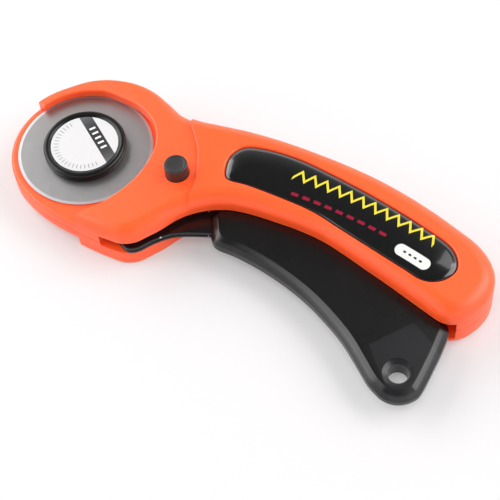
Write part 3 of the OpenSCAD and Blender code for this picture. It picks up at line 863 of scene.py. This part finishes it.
# ---------------------------------------------------------------------------------------
# Cap and sticker: a moulded black cap over the bolt's head, with a fine groove round its
# side and a raised rolled lip. Inside the lip is a printed vinyl disc: white, with a dark
# band, five short white strokes on it and fine graduations along one side.
# ---------------------------------------------------------------------------------------
cap_r, sticker_r = 13.7, 11.2
cap_h = cap_z1 - cap_z0
cap_profile = [(0, bolt_head_high), (bolt_head_r, bolt_head_high), (bolt_head_r, bolt_head_low),
               (bore_r, bolt_head_low), (bore_r, 0), (cap_r - 0.35, 0), (cap_r, 0.3),
               (cap_r, 0.85), (cap_r - 0.35, 1.0), (cap_r - 0.35, 1.15), (cap_r, 1.3),
               (cap_r, cap_h - 0.55), (cap_r - 0.6, cap_h), (sticker_r + 0.9, cap_h),
               (sticker_r + 0.15, cap_h - 0.6), (0, cap_h - 0.6)]
cap = body_of(lathe([(r, cap_z0 + h) for r, h in cap_profile], blade_axis, steps=160, ease=0.3))
cap_black = grained("cap_black", (0.006, 0.006, 0.006), (0.009, 0.009, 0.009), 0.22, grain=0.00002)
cap_black.node_tree.nodes["Principled BSDF"].inputs["Specular IOR Level"].default_value = 0.3
set_in(cap, "spindle_cap", cap_black, "trigger", "cap_black", "bolt_cap")

sticker = body_of(lathe([(0, cap_z1 - 0.6), (sticker_r, cap_z1 - 0.6), (sticker_r, cap_z1 - 0.45),
                         (0, cap_z1 - 0.45)], blade_axis, steps=128, ease=0.05))
vinyl, tree, shader = blank_finish("printed_vinyl")
place = coordinates(tree)
turned_print = tree.nodes.new("ShaderNodeMapping")
turned_print.vector_type = "TEXTURE"
turned_print.inputs["Location"].default_value = (*(blade_axis * MM), 0)
turned_print.inputs["Rotation"].default_value = (0, 0, math.radians(-37))
turned_print.inputs["Scale"].default_value = (MM, MM, MM)
tree.links.new(place, turned_print.inputs["Vector"])
x, y, _ = parted(tree, turned_print.outputs["Vector"])
paper = inked(tree, (0.60, 0.59, 0.59), (0.56, 0.55, 0.555), cloud(tree, place, 900))
# The band's ink greys towards its two ends
fade = calc(tree, "POWER", calc(tree, "MULTIPLY", calc(tree, "ABSOLUTE", x), 0.09), 2.5)
band_ink = inked(tree, (0.012, 0.012, 0.013), (0.11, 0.11, 0.115), fade)
band_low, band_high = 3.0, 6.9
print_colour = inked(tree, paper, band_ink, within(tree, y, band_low, band_high))
stroke_pitch, stroke_end = 2.2, 5.5
stroke = calc(tree, "PINGPONG", calc(tree, "ADD", x, 10.5 * stroke_pitch), stroke_pitch / 2)
stroke = calc(tree, "MULTIPLY", calc(tree, "GREATER_THAN", stroke, 0.72),
              within(tree, x, -stroke_end, stroke_end))
stroke = calc(tree, "MULTIPLY", stroke, within(tree, y, 3.9, 6.0))
print_colour = inked(tree, print_colour, (0.75, 0.75, 0.75), stroke)
spoke_step = 8
degrees = calc(tree, "MULTIPLY", calc(tree, "ARCTAN2", y, x), 180 / math.pi)
spoke = calc(tree, "LESS_THAN", calc(tree, "PINGPONG", degrees, spoke_step / 2), 0.8)
spoke = calc(tree, "MULTIPLY", spoke, within(tree, length_of(tree, x, y), 8.6, 10.2))
spoke = calc(tree, "MULTIPLY", spoke, calc(tree, "LESS_THAN", y, 0.5))
print_colour = inked(tree, print_colour, (0.22, 0.2, 0.21), spoke)
tree.links.new(print_colour, shader.inputs["Base Color"])
shader.inputs["Roughness"].default_value = 0.38
set_in(sticker, "cap_sticker", vinyl, "trigger", "label_white", "cap_label")

# ---------------------------------------------------------------------------------------
# Cross-lock: a black acetal button through both shells. Its collar keeps it in, stopped by
# a steel ring pressed in the front shell; a rubber ring in its shank gives it a firm slide.
# ---------------------------------------------------------------------------------------
lock_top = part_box("lock_button")[1].z / MM
button_profile = [(0, 0.4), (3, 0.4), (3, 4.6), (2.2, 4.6), (2.2, 5.8), (3, 5.8), (3, 14.4),
                  (5.4, 14.4), (5.4, 15.8), (3.8, 15.8), (3.8, lock_top - 0.35),
                  (3.5, lock_top), (2.9, lock_top), (2.7, lock_top - 0.12), (0, lock_top - 0.12)]
button = body_of(lathe(button_profile, lock_axis, ease=0.14))
button_black = grained("button_black", (0.018, 0.016, 0.016), (0.03, 0.027, 0.027), 0.4,
                       grain=0.00012, scale=1500)
set_in(button, "cross_lock_button", button_black, "lock", "button_black", "lock_button")

tube = bmesh.new()
section = bmesh.ops.create_circle(tube, segments=20, radius=0.4)
bmesh.ops.rotate(tube, verts=section["verts"], matrix=Matrix.Rotation(math.pi / 2, 3, "X"))
bmesh.ops.translate(tube, verts=section["verts"], vec=(lock_axis.x + 2.62, lock_axis.y, 5.2))
bmesh.ops.spin(tube, geom=tube.verts[:] + tube.edges[:], cent=(*lock_axis, 0), axis=(0, 0, 1),
               angle=math.tau, steps=72, use_merge=True, use_duplicate=False)
bmesh.ops.recalc_face_normals(tube, faces=tube.faces)
rubber = grained("nitrile_rubber", (0.018, 0.018, 0.018), (0.025, 0.025, 0.025), 0.7)
o_ring = body_of(tube)
set_in(o_ring, "friction_ring", rubber, "lock", "ring_rubber", "lock_ring")
keeper = body_of(ring(3.3, 6.55, 9.9, 10.3, lock_axis))
set_in(keeper, "retaining_ring", spring_steel, "housing", "spring_steel", "lock_retainer")

# ---------------------------------------------------------------------------------------
# Shell screws: four zinc-plated thread-forming screws with domed heads and cross
# recesses, driven from the rear into the front shell's bosses.
# ---------------------------------------------------------------------------------------
zinc = metal("zinc_plate", (0.56, 0.57, 0.6), 0.3, Vector((0, 0)), brushed=0.5)
screws = bmesh.new()
for n, place in enumerate(screw_places):
    profile = [(0, 1.0), (1.2, 1.05), (2.1, 1.35), (2.6, 2.0), (2.6, 3.0), (1.25, 3.0)]
    height = 3.6
    while height < 13:
        profile += [(1.08, height - 0.28), (1.4, height), (1.08, height + 0.28)]
        height += 0.9
    profile += [(0.9, 13.4), (0, 14)]
    one = body_of(lathe(profile, place, steps=40))
    for turn in (0, math.pi / 2):
        bit = bmesh.new()
        bmesh.ops.create_cube(bit, size=1)
        for vert in bit.verts:
            narrow = 0.55 if vert.co.z > 0 else 1
            vert.co = (vert.co.x * 3.1 * narrow, vert.co.y * 0.62 * narrow, 1.35 + vert.co.z * 1.7)
        bmesh.ops.rotate(bit, verts=bit.verts, matrix=Matrix.Rotation(turn + 0.4 * n, 3, "Z"))
        bmesh.ops.translate(bit, verts=bit.verts, vec=(*place, 0))
        carve(one, bit)
    screws.from_mesh(one.data)
    bpy.data.objects.remove(one)
screws = body_of(screws)
set_in(screws, "cross_head_screws", zinc, "housing", "screw_steel", "shell_screws")

# ---------------------------------------------------------------------------------------
# Studio: a pale floor that glows a little and turns up all round into a brighter wall, a
# key light at the right, a larger one at the left, a small one behind and one above the
# front that doesn't show in reflections, a sky that dims overhead, and the camera.
# ---------------------------------------------------------------------------------------
wall_line = [(0, 0), (300, 0), (700, 0)]
wall_line += [(900 + 250 * math.sin(a), 250 - 250 * math.cos(a))
              for a in (math.radians(d) for d in range(0, 91, 10))]
wall_line += [(1150, 700)]
floor = body_of(lathe(wall_line, Vector((0, 0)), steps=72), "studio_floor")
floor.data.transform(Matrix.Scale(MM, 4))
floor.data.shade_smooth()
pale, tree, shader = blank_finish("pale_floor")
shader.inputs["Base Color"].default_value = (0.485, 0.475, 0.481, 1)
shader.inputs["Roughness"].default_value = 0.55
shader.inputs["Emission Color"].default_value = (1, 1, 1, 1)
_, depth, height = parted(tree, coordinates(tree))
glow = calc(tree, "MULTIPLY", ranged(tree, height, (0.02, 0.3), (0, 0.85)),
            ranged(tree, depth, (-0.9, -0.4), (0.35, 1)))
tree.links.new(calc(tree, "ADD", glow, 0.24), shader.inputs["Emission Strength"])
floor.data.materials.append(pale)


def softbox(name, place, aim, size, power):
    """A rectangular lamp, aimed at a spot."""
    light = bpy.data.lights.new(name, "AREA")
    light.shape = "RECTANGLE"
    light.size, light.size_y = size
    light.energy = power
    lamp = bpy.data.objects.new(name, light)
    bpy.context.collection.objects.link(lamp)
    lamp.location = place
    lamp.rotation_euler = (Vector(aim) - Vector(place)).to_track_quat("-Z", "Y").to_euler()
    return lamp


softbox("key", (0.54, 0.31, 0.56), (0, 0, 0), (0.7, 0.55), 4.6)
softbox("left", (-0.67, -0.04, 0.46), (-0.02, 0, 0), (1.1, 0.62), 6.8)
softbox("behind", (0.17, 0.5, 0.72), (0.05, 0, 0), (0.3, 0.3), 0.6)
fill = softbox("front", (0.08, -0.27, 0.78), (0, 0, 0), (0.4, 0.3), 2.0)
fill.visible_glossy = False

world = bpy.data.worlds.new("room")
world.use_nodes = True
tree = world.node_tree
_, depth, height = parted(tree, coordinates(tree, "Generated"))
sky = calc(tree, "MULTIPLY", ranged(tree, height, (0.4, 0.8), (0.8, 0.1), "SMOOTHSTEP"),
           ranged(tree, depth, (-0.75, -0.3), (0.2, 1), "SMOOTHSTEP"))
tree.links.new(sky, tree.nodes["Background"].inputs["Strength"])
tree.nodes["Background"].inputs["Color"].default_value = (1, 1, 1, 1)
bpy.context.scene.world = world
bpy.context.scene.view_settings.view_transform = "Standard"

eye = bpy.data.cameras.new("eye")
eye.lens = 100.8
eye.sensor_width = 36
eye.clip_start = 0.01
camera = bpy.data.objects.new("eye", eye)
bpy.context.collection.objects.link(camera)
stand = Vector((0.12884, -0.21528, 0.37811))
target = Vector((0.00953, -0.00864, 0.015))
roll = math.radians(-6.334)
camera.location = stand
camera.rotation_euler = ((target - stand).to_track_quat("-Z", "Y").to_matrix()
                         @ Matrix.Rotation(roll, 3, "Z")).to_euler()
bpy.context.scene.camera = camera
